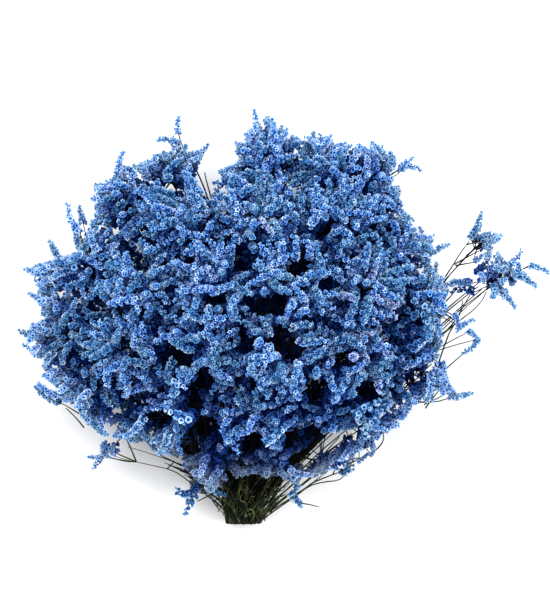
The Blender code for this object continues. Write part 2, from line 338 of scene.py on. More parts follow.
# edge: the bunch's outline seen from above, in millimetres, from the left of the neck round to its right
edge = {
    "corners": (
        (-50, -141), (-62, -133), (-72, -124), (-80, -115), (-90, -110), (-100, -110), (-109, -98),
        (-140, -96), (-154, -85), (-166, -74), (-178, -62), (-180, -55), (-193, -46), (-193, -35),
        (-205, -24), (-205, -9), (-194, 0), (-196, 22), (-199, 41), (-183, 46), (-170, 51), (-158, 50),
        (-154, 66), (-152, 90), (-150, 107), (-136, 115), (-122, 121), (-106, 128), (-78, 138), (-67, 132),
        (-67, 117), (-54, 110), (-49, 119), (-37, 124), (-37, 138), (-25, 152), (-23, 160), (-6, 158),
        (2, 150), (14, 144), (31, 150), (42, 142), (55, 140), (70, 142), (83, 138), (90, 126), (86, 108),
        (93, 102), (95, 86), (102, 78), (104, 62), (118, 64), (119, 42), (128, 32), (130, 14), (130, -6),
        (126, -18), (126, -35), (132, -50), (138, -61), (103, -69), (94, -86), (80, -93), (72, -104),
        (60, -110), (48, -115), (34, -117), (24, -126), (8, -131),
    ),
    "neck": ((-6, -127), (-28, -124), (-44, -128), (-52, -136)),
    "spacing": 4.5 * mm,
    "inset": (1.5 * mm, 7 * mm),
    "height": (58 * mm, 142 * mm),
    "gap": 5.2 * mm,
    "tries": 5,
    "pullIn": 15 * mm,
    "length": (17, 26),
    "farthest": 62 * mm,
    "stray": 0.45,
}

# spikes that stand out on their own past the bunch's edge: where each starts and ends, in millimetres
lone = {
    "flowers_04b": (
        ((-84, 147, 103), (-84, 160, 107)), ((-82, 139, 107), (-98, 143, 111)),
        ((-68, 128, 103), (-61, 138, 107)), ((-86, 135, 99), (-88, 144, 101)),
    ),
    "flowers_04a": (
        ((-132, 112, 107), (-129, 131, 109)), ((-120, 117, 109), (-128, 121, 111)),
    ),
    "flowers_03b": (
        ((-162, 67, 113), (-172, 89, 117)), ((-162, 53, 103), (-167, 70, 101)),
        ((-160, 75, 109), (-163, 87, 111)), ((-176, 42, 111), (-186, 60, 113)),
        ((-187, 33, 109), (-206, 39, 105)), ((-187, 12, 101), (-203, 19, 99)),
        ((-190, 22, 105), (-198, 30, 107)),
    ),
    "flowers_03a": (
        ((-191, -18, 109), (-210, -11, 111)), ((-191, -29, 101), (-207, -23, 99)),
    ),
    "flowers_02b": (
        ((-178, -69, 93), (-198, -57, 91)), ((-181, -63, 97), (-195, -54, 99)),
    ),
    "flowers_01b": (
        ((-145, -112, 64), (-156, -113, 66)), ((-148, -114, 60), (-153, -121, 56)),
        ((-134, -110, 66), (-145, -105, 70)), ((-129, -96, 68), (-133, -89, 72)),
    ),
    "flowers_05a": (
        ((-22, 148, 111), (-23, 165, 113)), ((-10, 143, 105), (-12, 160, 103)),
        ((0, 135, 113), (2, 149, 115)),
    ),
    "flowers_06a": (
        ((92, 120, 107), (108, 120, 105)), ((95, 117, 113), (103, 127, 115)),
    ),
    "flowers_06b": (
        ((117, 50, 113), (132, 58, 115)), ((113, 59, 107), (120, 65, 109)),
        ((112, 60, 109), (110, 71, 111)), ((100, 60, 115), (101, 74, 115)), ((92, 77, 111), (103, 79, 109)),
    ),
    "flowers_07a": (
        ((150, 63, 96), (159, 83, 102)), ((151, 65, 92), (159, 74, 94)), ((158, 64, 98), (173, 66, 94)),
        ((161, 59, 92), (172, 63, 90)), ((157, 55, 92), (169, 62, 86)), ((153, 45, 106), (163, 51, 108)),
    ),
    "flowers_07b": (
        ((155, 36, 92), (165, 49, 96)), ((158, 30, 100), (168, 42, 106)), ((164, 27, 86), (174, 39, 82)),
        ((167, 34, 96), (179, 41, 100)), ((176, 40, 92), (191, 53, 94)), ((166, 38, 102), (173, 50, 108)),
        ((175, 27, 96), (183, 37, 92)), ((171, 26, 84), (178, 17, 80)), ((173, 22, 92), (186, 10, 88)),
        ((168, 23, 100), (179, 22, 104)), ((188, 35, 96), (202, 27, 92)), ((198, 42, 94), (212, 37, 96)),
        ((153, 28, 98), (129, 25, 100)), ((155, 21, 92), (138, 22, 94)), ((179, 34, 86), (185, 43, 90)),
        ((172, 29, 106), (178, 31, 114)), ((161, 29, 106), (158, 35, 116)), ((175, 32, 78), (174, 24, 66)),
    ),
    "flowers_08a": (
        ((137, 4, 105), (140, -9, 103)), ((141, -8, 103), (152, -2, 101)), ((113, 22, 111), (113, 34, 113)),
        ((119, 31, 103), (123, 42, 103)), ((127, 14, 99), (132, 21, 97)),
    ),
    "flowers_08b": (
        ((148, -10, 99), (157, -17, 99)), ((157, -16, 99), (147, -27, 97)),
        ((126, -35, 97), (131, -51, 95)), ((130, -51, 93), (134, -61, 91)),
        ((134, -64, 89), (151, -61, 87)), ((131, -57, 91), (140, -64, 89)),
    ),
    "flowers_09b": (
        ((7, -128, 64), (11, -136, 56)), ((12, -135, 50), (7, -143, 44)), ((7, -142, 40), (14, -152, 32)),
        ((30, -119, 62), (50, -118, 58)), ((50, -127, 54), (56, -117, 50)),
        ((46, -125, 50), (55, -124, 46)),
    ),
    "flowers_09a": (
        ((60, -117, 77), (67, -111, 75)), ((70, -112, 77), (74, -105, 75)),
    ),
    "flowers_01a": (
        ((-80, -117, 52), (-71, -125, 56)), ((-71, -124, 54), (-62, -134, 56)),
        ((-63, -132, 54), (-50, -144, 52)), ((-67, -137, 42), (-84, -144, 42)),
        ((-73, -142, 40), (-71, -136, 44)), ((-70, -143, 40), (-79, -158, 34)),
        ((-77, -146, 42), (-85, -140, 44)),
    ),
    "flowers_15b": (
        ((8, -129, 102), (-10, -107, 110)),
    ),
}

# hollows: dark gaps in the top of the bunch, each a place seen from above and its radius, in millimetres
hollows = {
    "places": (
        (-90, -27, 7), (-29, -20, 7), (-1, -16, 10), (8, -26, 8), (-6, 11, 8), (-75, -33, 6), (-71, -65, 7),
        (-62, -49, 8), (12, 40, 7), (-32, 47, 7), (-71, -98, 8), (25, -58, 8), (22, -94, 8), (-62, -86, 8),
        (32, 68, 5), (-50, 15, 5), (-98, -81, 7), (66, -58, 7), (-111, 41, 6), (-124, -22, 6), (9, -98, 8),
        (46, -31, 5), (-116, -66, 6), (34, 27, 4), (-23, -98, 7),
    ),
    "above": 78 * mm,
    "wider": 2.5 * mm,
    # slits go right through the bunch: where each starts and ends, and its half width
    "slits": (
        ((14, -115), (35, -98), 7.5), ((38, -98), (55, -91), 6), ((-94, 106), (-79, 99), 4.5),
        ((-67, 114), (-59, 99), 6), ((97, -54), (110, -45), 5), ((113, -43), (124, -35), 5),
    ),
}


def inHollow(points):
    for x, y, radius in hollows["places"]:
        spot = Vector((x, y)) * mm
        reach = radius * mm + hollows["wider"]
        if any(point.z > hollows["above"] and (point.xy - spot).length < reach for point in points):
            return True
    return any(inSlit(point) for point in points)


def inSlit(point):
    for start, end, reach in hollows["slits"]:
        start, end = Vector(start) * mm, Vector(end) * mm
        line = end - start
        share = min(max((point.xy - start).dot(line) / line.length_squared, 0), 1)
        if (point.xy - start - line * share).length < reach * mm:
            return True
    return False


# sprays: main spikes end at the solid head's own tips, and filling ones stand between and below them
spray = {
    "sparse": ("flowers_01b", "flowers_07a", "flowers_07b"),
    "mainLength": (19 * mm, 29 * mm),
    "mainStray": 0.3,
    "mainLeast": 15 * mm,
    "coreRadius": 6 * mm,
    "fillLength": (17 * mm, 29 * mm),
    "passes": (
        {"reach": (0.80, 1.02), "gap": 5.6 * mm, "tries": 560, "most": 46, "facing": -0.15},
        {"reach": (0.45, 0.85), "gap": 6.0 * mm, "tries": 380, "most": 42, "facing": -1.0},
        {"reach": (0.10, 0.50), "gap": 7.0 * mm, "tries": 120, "most": 16, "facing": -1.0},
    ),
    "crowdCell": 9 * mm,
    "roundUnder": 0.5,
    "deepUnder": 0.26,
    "downUnder": -0.35,
    "lowest": 4 * mm,
    # low spikes close what still shows the ground from above, where fewer layers of spikes than this lie
    "bed": {
        "height": (14 * mm, 52 * mm), "inset": 5.5 * mm, "layers": 2.2, "away": 38 * mm, "lift": 5 * mm,
        "tilt": (-0.15, 0.25), "length": (20, 28), "reach": 1.1,
    },
    # and spikes inside the bunch close what shows through from the sides, at these azimuths
    "inner": {
        "azimuths": (0, 45, 90, 135), "rise": 0.25, "tries": 2500, "most": 100, "layers": 1.7, "reach": 0.8,
        "least": -95 * mm, "lowest": 20 * mm, "inset": 6 * mm, "away": 80 * mm, "length": (20, 28),
    },
    "viewCell": 3 * mm,
    "ownWay": 0.75,
    "outWay": 0.45,
    "strayWay": 0.75,
    "twigRadius": 0.5 * mm,
    "stalkTaper": (1.5, 1.4, 1.1),
    "twigTaper": 0.1,
    "sideTwig": 0.8,
    "floor": 0.1 * mm,
}


def strayVector(rng):
    while True:
        pick = Vector([rng.uniform(-1, 1) for _ in range(3)])
        if 0.1 < pick.length < 1:
            return pick


# the way out of the bunch at a point
def outwardAt(point):
    away = point - bunch["middle"]
    return Vector([part / half**2 for part, half in zip(away, bunch["halfSize"])]).normalized()


def reachAlong(direction, arms):
    weights = [max(0.01, direction.dot(arm.normalized())) ** 8 for arm in arms]
    return sum(weight * arm.length for weight, arm in zip(weights, arms)) / sum(weights)


# keeps spikes apart: their places in coarse cells
class Crowd:
    def __init__(self, cell):
        self.cell = cell
        self.cells = {}

    def key(self, point):
        return tuple(math.floor(part / self.cell) for part in point)

    def add(self, points):
        for point in points:
            self.cells.setdefault(self.key(point), []).append(point)

    def isFree(self, point, gap):
        x, y, z = self.key(point)
        steps = ((i, j, k) for i in (-1, 0, 1) for j in (-1, 0, 1) for k in (-1, 0, 1))
        near = (self.cells.get((x + i, y + j, z + k), ()) for i, j, k in steps)
        return all((point - other).length >= gap for some in near for other in some)


def spikePoints(start, aim, length):
    return [start + aim * length * share for share in (0.2, 0.6, 1)]


# where a place lies against the bunch's edge: whether inside, and the nearest place on it
def againstEdge(point):
    corners = [Vector(corner) * mm for corner in edge["corners"] + edge["neck"]]
    inside, nearest = False, None
    for one, two in zip(corners, corners[1:] + corners[:1]):
        if (one.y > point.y) != (two.y > point.y):
            if point.x < one.x + (two.x - one.x) * (point.y - one.y) / (two.y - one.y):
                inside = not inside
        line = two - one
        share = min(max((point.xy - one).dot(line) / line.length_squared, 0), 1)
        spot = one + line * share
        if nearest is None or (point.xy - spot).length < (point.xy - nearest).length:
            nearest = spot
    return inside, nearest


# counts a spike as a layer at each cell of a view that it covers; cellOf gives a point's cell
def countLayer(layers, cellOf, one):
    for i in range(9):
        column, row = cellOf(one["start"] + one["aim"] * one["length"] * i / 8)
        for at in ((column + a, row + b) for a in (-1, 0, 1) for b in (-1, 0, 1)):
            layers[at] = layers.get(at, 0) + 1 / 3


def planSprays(heads, rng):
    plan = {head: [] for head in heads}
    crowd = Crowd(spray["crowdCell"])

    def isClear(points, gap):
        free = all(crowd.isFree(point, gap) for point in points)
        return free and againstEdge(points[-1])[0] and not inHollow(points)

    def keep(head, start, aim, length, style, main):
        crowd.add(spikePoints(start, aim, length))
        plan[head].append({"start": start, "aim": aim, "length": length, "style": style, "main": main})

    for head, (middle, _, tips) in heads.items():
        sparse = head in spray["sparse"]
        for start, end in lone.get(head, ()):
            start, end = Vector(start) * mm, Vector(end) * mm
            keep(head, start, (end - start).normalized(), (end - start).length + 1 * mm, "round", sparse)
            plan[head][-1]["lone"] = True
        for tip in tips:
            direction = (tip - middle).normalized()
            if sparse and abs(direction.z) < 0.8:
                continue
            aim = (direction + strayVector(rng) * spray["mainStray"]).normalized()
            length = min(rng.uniform(*spray["mainLength"]), (tip - middle).length - spray["coreRadius"])
            length = max(length, spray["mainLeast"])
            inside, nearest = againstEdge(tip)
            over = Vector((*(nearest - tip.xy), 0))
            if not (inside or sparse):
                if over.length > edge["pullIn"]:
                    continue
                tip = tip + over
            if inHollow(spikePoints(tip - aim * length, aim, length)):
                continue
            style = "round" if outwardAt(tip).z < spray["roundUnder"] else "outer"
            keep(head, tip - aim * length, aim, length, style, True)

    # spikes along the edge, so that the outline is closed
    corners = [Vector(corner) * mm for corner in edge["corners"]]
    for one, two in zip(corners, corners[1:]):
        parts = max(1, round((two - one).length / edge["spacing"]))
        for i in range(parts * edge["tries"]):
            spot = one.lerp(two, rng.random())
            tip = Vector((*spot, rng.uniform(*edge["height"])))
            head = min(heads, key=lambda name: (heads[name][0] - tip).length)
            middle = heads[head][0]
            tip.z = middle.z + (tip.z - 0.1) * 0.8 if middle.z < 0.07 else tip.z
            if head in spray["sparse"] or (tip - middle).length > edge["farthest"]:
                continue
            aim = ((tip - middle).normalized() + strayVector(rng) * edge["stray"]).normalized()
            tip = tip - aim * rng.uniform(*edge["inset"])
            length = rng.uniform(*edge["length"]) * mm
            start = tip - aim * length
            if isClear(spikePoints(start, aim, length), edge["gap"]):
                keep(head, start, aim, length, "round", False)

    for step in spray["passes"]:
        for head, (middle, _, tips) in heads.items():
            if head in spray["sparse"]:
                continue
            arms = [tip - middle for tip in tips]
            most = step["most"]
            for _ in range(step["tries"]):
                direction = strayVector(rng).normalized()
                reach = reachAlong(direction, arms) * rng.uniform(*step["reach"])
                tip = middle + direction * reach
                out = outwardAt(tip)
                length = rng.uniform(*spray["fillLength"])
                aim = direction * spray["ownWay"] + out * spray["outWay"]
                aim = (aim + strayVector(rng) * spray["strayWay"]).normalized()
                start = tip - aim * length
                if min(tip.z, start.z) < spray["lowest"] or out.dot(direction) < step["facing"]:
                    continue
                if not isClear(spikePoints(start, aim, length), step["gap"]):
                    continue
                keep(head, start, aim, length, "outer", False)
                most -= 1
                if not most:
                    break

    every = [one for some in plan.values() for one in some]
    cell, bed, layers = spray["viewCell"], spray["bed"], {}

    def seenCell(point):
        spread = (camera["height"] - camera["focusHeight"]) / (camera["height"] - point.z)
        seen = Vector(camera["above"]) + (point.xy - Vector(camera["above"])) * spread
        return round(seen.x / cell), round(seen.y / cell)

    for one in every:
        countLayer(layers, seenCell, one)
    columns, rows = (round(bunch["halfSize"][axis] * bed["reach"] / cell) for axis in (0, 1))
    for i in range(-columns, columns + 1):
        for j in range(-rows, rows + 1):
            x, y, _ = bunch["middle"]
            spot = Vector((x + i * cell, y + j * cell, rng.uniform(*bed["height"])))
            inside, nearest = againstEdge(spot)
            closed = layers.get(seenCell(spot), 0) >= bed["layers"]
            if closed or not inside or inSlit(spot) or (nearest - spot.xy).length < bed["inset"]:
                continue
            head = min(heads, key=lambda name: (heads[name][0] - spot).length)
            while (heads[head][0] - spot).length > bed["away"] and spot.z < heads[head][0].z:
                spot.z += bed["lift"]
            aim = Vector((rng.uniform(-1, 1), rng.uniform(-1, 1), rng.uniform(*bed["tilt"]))).normalized()
            length = rng.uniform(*bed["length"]) * mm
            start = spot - aim * length / 2
            ends = (start, start + aim * length)
            if head in spray["sparse"] or any(inSlit(end) or not againstEdge(end)[0] for end in ends):
                continue
            keep(head, start, aim, length, "deep", False)
            countLayer(layers, seenCell, plan[head][-1])

    inner = spray["inner"]
    for azimuth in inner["azimuths"]:
        turn = math.radians(azimuth)
        along = Vector((-math.sin(turn), math.cos(turn), -inner["rise"])).normalized()
        right = along.cross(Vector((0, 0, 1))).normalized()
        up = right.cross(along)
        layers = {}

        def sideCell(point):
            return round(point.dot(right) / cell), round(point.dot(up) / cell)

        def isNearEdge(point):
            inside, nearest = againstEdge(point)
            return not inside or (nearest - point.xy).length < inner["inset"]

        for one in (one for some in plan.values() for one in some):
            countLayer(layers, sideCell, one)
        most = inner["most"]
        for _ in range(inner["tries"]):
            spot = bunch["middle"] + strayVector(rng) * bunch["halfSize"] * inner["reach"]
            closed = layers.get(sideCell(spot), 0) >= inner["layers"]
            if closed or spot.z < inner["lowest"] or spot.y < inner["least"]:
                continue
            head = min(heads, key=lambda name: (heads[name][0] - spot).length)
            aim = strayVector(rng).normalized()
            length = rng.uniform(*inner["length"]) * mm
            start = spot - aim * length / 2
            tooFar = (heads[head][0] - spot).length > inner["away"]
            if tooFar or head in spray["sparse"] or inHollow(spikePoints(start, aim, length)):
                continue
            if any(isNearEdge(end) for end in (start, start + aim * length)):
                continue
            keep(head, start, aim, length, "deep", False)
            countLayer(layers, sideCell, plan[head][-1])
            most -= 1
            if not most:
                break
    return plan


# how open each place in the bunch is: the crowd of spikes is counted into cells, and what lies
# outward of a place covers it; the openness paints shade into the colours, darker where covered
cover = {
    "cell": 6 * mm,
    "margin": 0.03,
    "step": 5 * mm,
    "steps": 8,
    # the way out leans upward, so undersides get more painted shade, as with light from above
    "upward": 0.7,
    "strength": 0.62,
    # the bunch's core gets painted shade, this much at most
    "core": (0.5, 0.8),
    "corePaintedShade": 0.75,
    "shownFrom": (0.05, 0.85),
}


def makeCover(plan):
    points = []
    for some in plan.values():
        for one in some:
            line = one["aim"] * one["length"]
            points += [one["start"] + line * share for share in (0.1, 0.3, 0.5, 0.7, 0.9)]
    low = numpy.array(cadBox[0]) - cover["margin"]
    counts = numpy.ceil((numpy.array(cadBox[1]) + cover["margin"] - low) / cover["cell"]).astype(int)
    high = low + counts * cover["cell"]
    cells, _ = numpy.histogramdd(numpy.array(points), bins=counts, range=list(zip(low, high)))
    for axis in (0, 1, 2):
        cells = (numpy.roll(cells, 1, axis) + 2 * cells + numpy.roll(cells, -1, axis)) / 4
    return low, cells


def opennessAt(places, low, cells):
    away = places - numpy.array(bunch["middle"])
    depth = numpy.linalg.norm(away / numpy.array(bunch["halfSize"]), axis=1)
    core = 1 - numpy.clip((depth - cover["core"][0]) / (cover["core"][1] - cover["core"][0]), 0, 1)
    out = away / numpy.array(bunch["halfSize"]) ** 2
    out /= numpy.linalg.norm(out, axis=1, keepdims=True) + 1e-9
    out[:, 2] += cover["upward"]
    out /= numpy.linalg.norm(out, axis=1, keepdims=True)
    total = numpy.zeros(len(places))
    for i in range(1, cover["steps"] + 1):
        spots = (places + out * (i * cover["step"]) - low) / cover["cell"] - 0.5
        base = numpy.floor(spots).astype(int)
        part = spots - base
        for corner in ((a, b, c) for a in (0, 1) for b in (0, 1) for c in (0, 1)):
            corner = numpy.array(corner)
            weight = numpy.prod(numpy.where(corner, part, 1 - part), axis=1)
            cell = numpy.clip(base + corner, 0, numpy.array(cells.shape) - 1)
            total += weight * cells[cell[:, 0], cell[:, 1], cell[:, 2]]
    return numpy.exp(-cover["strength"] * total) * (1 - cover["corePaintedShade"] * core)


# spikes that are covered or face down are made plainer
def plainDeepOnes(plan, low, cells):
    every = [one for some in plan.values() for one in some]
    places = numpy.array([one["start"] + one["aim"] * one["length"] * 0.8 for one in every])
    for one, value, place in zip(every, opennessAt(places, low, cells), places):
        if value < spray["deepUnder"] or outwardAt(Vector(place)).z < spray["downUnder"]:
            one["style"] = "deep"


# the openness goes into the "open" attribute, from which the shade group paints shade into the colour
def paintOpenness(mesh, low, cells):
    places = numpy.empty(len(mesh.vertices) * 3)
    mesh.vertices.foreach_get("co", places)
    values = opennessAt(places.reshape(-1, 3), low, cells)
    mesh.attributes.new("open", "FLOAT", "POINT").data.foreach_set("value", values)


# a matrix with Z along the spike and X, its florets' side, to the way out of the bunch
def spikeMatrix(start, aim, size, rng):
    out = outwardAt(start + aim * 0.015) + strayVector(rng) * 0.5
    across = aim.cross(out)
    if across.length < 0.05:
        across = aim.orthogonal()
    across.normalize()
    face = across.cross(aim).normalized()
    turn = Matrix((face, across, aim)).transposed().to_4x4()
    return Matrix.Translation(start) @ turn @ Matrix.Scale(size, 4)


def nearestOnTwigs(point, twigs):
    best = None
    for start, end in twigs:
        line = end - start
        share = min(max((point - start).dot(line) / line.length_squared - 0.15, 0.1), 1)
        spot = start + line * share
        if best is None or (point - spot).length < (point - best).length:
            best = spot
    return best


def makeHead(head, middle, foot, plan, kinds, material, twigMaterial, openCells, rng):
    edit = bmesh.new()
    tone = edit.verts.layers.float.new("spikeTone")
    lilac = edit.verts.layers.float.new("lilac")
    faded = edit.verts.layers.float.new("faded")
    curve = newTubes("twigs", sides=4)
    radius = spray["twigRadius"]
    lift = spray["floor"] + 0.6 * mm
    addTube(curve, [foot, foot.lerp(middle, 0.5), middle], [part * radius for part in spray["stalkTaper"]])
    twigs = [(foot, middle)]
    for one in sorted(plan, key=lambda one: not one["main"]):
        start, aim, length, main = one["start"], one["aim"], one["length"], one["main"]
        nearest = min(spike["lengths"], key=lambda own: abs(own - length))
        matrix = spikeMatrix(start, aim, length / nearest, rng)
        fresh = placed(edit, rng.choice(kinds[nearest, one["style"]]), matrix)
        own = rng.random()
        near = (start.xy - Vector(bloom["lilacPlace"]) * mm).length < bloom["lilacReach"]
        ownLilac = rng.uniform(*bloom["lilacRange"]) * (rng.random() < bloom["lilacChance"][near])
        away = (start + aim * length / 2 - bunch["neckMiddle"]).length
        least, most = bloom["fadedReach"]
        ownFaded = 0 if "lone" in one else min(max((most - away) / (most - least), 0), 1)
        for vert in fresh:
            vert[tone] = own
            vert[lilac] = ownLilac
            vert[faded] = ownFaded
            vert.co.z = max(vert.co.z, spray["floor"])
        if main:
            bow = foot.lerp(middle, rng.uniform(0.35, 1))
            halfWay = bow.lerp(start, 0.5) + strayVector(rng) * 2 * mm
            twigs.append((bow, start))
            points = [bow, halfWay, start, start + aim * 4 * mm]
        else:
            spot = nearestOnTwigs(start, twigs)
            points = [spot, spot.lerp(start, 0.6) + strayVector(rng) * 1 * mm, start + aim * 2 * mm]
        for point in points:
            point.z = max(point.z, lift)
        thick = radius * (1 if main else spray["sideTwig"])
        addTube(curve, points, [thick * (1 - spray["twigTaper"] * i) for i in range(len(points))])
    twigMesh = meshFromTubes(curve)
    first = len(edit.faces)
    edit.from_mesh(twigMesh)
    edit.faces.ensure_lookup_table()
    for face in edit.faces[first:]:
        face.material_index = 1
    mesh = bpy.data.meshes.new("sprays_" + head[8:])
    edit.to_mesh(mesh)
    edit.free()
    mesh.materials.append(material)
    mesh.materials.append(twigMaterial)
    # the openness attribute, from which the florets and twigs get painted shade
    paintOpenness(mesh, *openCells)
    piece = addObject(mesh.name, mesh)
    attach(piece, "root")
    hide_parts(head)


# stems: round and a little crooked, with finer ones beside them and tangled about the neck
stems = {
    "cutRadius": 1.3 * mm,
    "tipRadius": 0.55 * mm,
    "crook": 1.1 * mm,
    "cutLine": -169.0 * mm,
    "lowest": 1.5 * mm,
    "fineEach": 2,
    "fineRadius": 0.45 * mm,
    "fineAway": 4.5 * mm,
    "strands": 26,
    "strandRadius": (0.4 * mm, 0.75 * mm),
    "strandLength": (38 * mm, 120 * mm),
    "strandWave": (1.2 * mm, 4.5 * mm),
    "strandTaper": 0.4,
    "curls": 7,
    "curlBegin": (2 * mm, 26 * mm),
    "curlTwig": (0.32, 0.48),
    "curlTurn": (3, 6.5),
    "curlRadius": (2 * mm, 4.5 * mm),
    "curlLength": (14 * mm, 30 * mm),
    "shootRadius": (0.62 * mm, 0.4 * mm),
    "shootWobble": 0.8,
    "slender": {"stem_01": 0.45, "stem_07": 0.45},
    "neckRadius": 12.5 * mm,
    "neckShift": -2 * mm,
    "tones": {"stem": 0.2, "fine": 0.4, "dark": 0.0, "middle": 0.35, "pale": 1.0, "shoot": 0.85},
}

# a branch that hangs in the open, and the thin stems that show on their own, in millimetres
courses = {
    "flowers_01b": (
        (-76, -135, 28), (-85, -126, 36), (-96, -123, 44), (-106, -121, 51), (-119, -117, 58),
        (-131, -115, 61), (-139, -111, 62),
    ),
}
shoots = {
    "stem_07": (
        ((115, 5, 82), (121, 18, 85), (130, 33, 88), (138, 43, 90), (143, 52, 93), (150, 62, 96)),
        ((138, 43, 92), (148, 49, 94), (158, 54, 95)),
        ((139, 42, 91), (147, 44, 92), (156, 45, 93)),
        ((148, 59, 95), (160, 62, 96)),
        ((111, -19, 74), (116, -15, 78), (133, -2, 83), (144, 9, 88), (160, 23, 92)),
        (
            (114, -29, 70), (118, -24, 73), (133, -10, 77), (145, -1, 80), (153, 5, 83), (162, 14, 87),
            (164, 21, 90),
        ),
        ((119, 0, 80), (128, 9, 85), (135, 17, 91), (142, 26, 96)),
        ((124, 1, 84), (131, 6, 87), (144, 18, 89), (160, 30, 92)),
        ((125, -39, 78), (129, -27, 80), (133, -15, 83), (135, -10, 85), (144, 1, 88), (145, 14, 90)),
        ((179, 34, 92), (187, 37, 93), (198, 41, 94)),
        ((112, -23, 76), (130, -13, 80), (139, -3, 83), (146, 10, 86), (151, 19, 90)),
        ((116, -8, 78), (132, 4, 83), (146, 16, 87), (157, 25, 92)),
        (
            (-24, -167, 12), (-11, -159, 17), (2, -151, 21), (14, -143, 26), (24, -135, 31), (32, -129, 35),
            (45, -119, 40),
        ),
        (
            (-24, -165, 14), (-10, -156, 19), (3, -146, 24), (14, -137, 29), (26, -127, 34), (43, -112, 39),
            (55, -103, 44),
        ),
        (
            (-22, -165, 13), (-6, -154, 18), (9, -142, 24), (21, -133, 30), (35, -120, 35), (52, -107, 40),
            (64, -98, 46),
        ),
        (
            (-21, -166, 11), (-2, -154, 15), (14, -144, 20), (22, -137, 24), (30, -135, 29), (39, -134, 33),
            (47, -133, 38), (51, -128, 42),
        ),
    ),
    "stem_08": (
        ((127, -45, 92), (133, -40, 94), (146, -28, 97)),
        ((115, -73, 84), (118, -68, 86), (127, -57, 88)),
        ((114, -70, 82), (120, -68, 84), (130, -62, 86)),
        ((109, -68, 80), (124, -69, 83), (133, -65, 86)),
        ((88, -75, 70), (98, -60, 76), (109, -47, 82), (120, -37, 88)),
        ((92, -78, 66), (103, -63, 73), (114, -52, 79), (125, -44, 86)),
        ((93, -65, 72), (104, -49, 81), (119, -28, 90)),
        ((125, 10, 88), (132, 2, 94), (138, -2, 100)),
        (
            (-24, -164, 16), (-12, -154, 22), (0, -144, 27), (14, -131, 33), (30, -116, 39), (47, -102, 44),
            (56, -94, 50),
        ),
        (
            (-25, -162, 18), (-14, -151, 24), (-1, -140, 30), (12, -127, 36), (29, -111, 42), (43, -98, 48),
            (58, -86, 54),
        ),
        ((-25, -160, 19), (-17, -149, 26), (-6, -136, 34), (7, -123, 41), (21, -109, 49), (35, -96, 56)),
        ((54, -109, 60), (64, -102, 66), (77, -97, 72), (90, -86, 78), (96, -76, 84)),
    ),
    "stem_09": (
        (
            (-26, -161, 20), (-15, -149, 27), (-3, -137, 33), (10, -124, 40), (25, -109, 47), (40, -95, 53),
            (53, -83, 60),
        ),
        (
            (-24, -164, 17), (-9, -152, 23), (6, -139, 29), (17, -127, 34), (32, -113, 40), (50, -99, 46),
            (63, -91, 52),
        ),
        ((-27, -159, 22), (-19, -147, 30), (-8, -133, 38), (4, -120, 46), (17, -107, 54), (30, -94, 62)),
        ((-22, -163, 15), (-7, -150, 22), (3, -141, 29), (16, -129, 36), (34, -110, 43), (46, -97, 50)),
        ((22, -137, 20), (30, -132, 28), (41, -128, 36), (49, -125, 44)),
        ((41, -128, 36), (43, -122, 44)),
        ((50, -118, 44), (56, -114, 50), (63, -114, 56)),
        ((13, -152, 32), (17, -152, 31), (30, -155, 30)),
        ((72, -109, 72), (75, -107, 74), (80, -103, 75), (82, -98, 76), (81, -93, 78)),
        ((51, -120, 58), (59, -116, 63), (67, -112, 69), (74, -107, 74)),
    ),
    "stem_01": (
        ((-119, -117, 58), (-127, -98, 63), (-130, -92, 68)),
        ((-119, -117, 57), (-134, -111, 62), (-136, -109, 66)),
        ((-119, -117, 56), (-129, -117, 59), (-140, -113, 61), (-146, -112, 64)),
        ((-79, -123, 34), (-88, -117, 38), (-97, -114, 42), (-102, -111, 46), (-108, -105, 50)),
        ((-94, -123, 44), (-89, -118, 40)),
        ((-56, -143, 34), (-65, -148, 37), (-70, -150, 40)),
        ((-57, -143, 30), (-65, -145, 34), (-72, -142, 38)),
    ),
    "stem_04": (
        (
            (-60, 95, 98), (-64, 106, 100), (-69, 118, 101), (-75, 128, 103), (-82, 139, 104),
            (-84, 148, 106),
        ),
        ((-70, 118, 100), (-68, 124, 102), (-67, 129, 104)),
        ((-67, 92, 94), (-72, 103, 97), (-77, 114, 101), (-82, 122, 104)),
        ((-73, 90, 92), (-80, 103, 95), (-86, 112, 99), (-92, 120, 102)),
        ((-56, 90, 90), (-58, 100, 93), (-62, 109, 97), (-63, 117, 100)),
    ),
    "stem_03": (
        ((-154, 45, 96), (-160, 56, 101), (-162, 66, 106)),
    ),
    "stem_02": (
        ((-156, -83, 74), (-167, -76, 82), (-178, -69, 90)),
        ((-161, -89, 72), (-167, -81, 78), (-175, -73, 84)),
    ),
    "stem_06": (
        ((102, 45, 98), (110, 50, 105), (116, 51, 112)),
        ((82, 111, 92), (88, 116, 96), (94, 120, 100)),
    ),
}


def alongLine(line, distance):
    for start, end in zip(line, line[1:]):
        step = (end - start).length
        if distance <= step:
            return start.lerp(end, distance / step)
        distance -= step
    return line[-1]


# a stem's first point slid to the straight cut that all share
def cutAt(points):
    start = points[0] + bunch["neckDirection"] * (stems["cutLine"] - points[0].y)
    start.y, start.z = stems["cutLine"], max(start.z, stems["lowest"])
    return [start] + points[1:]


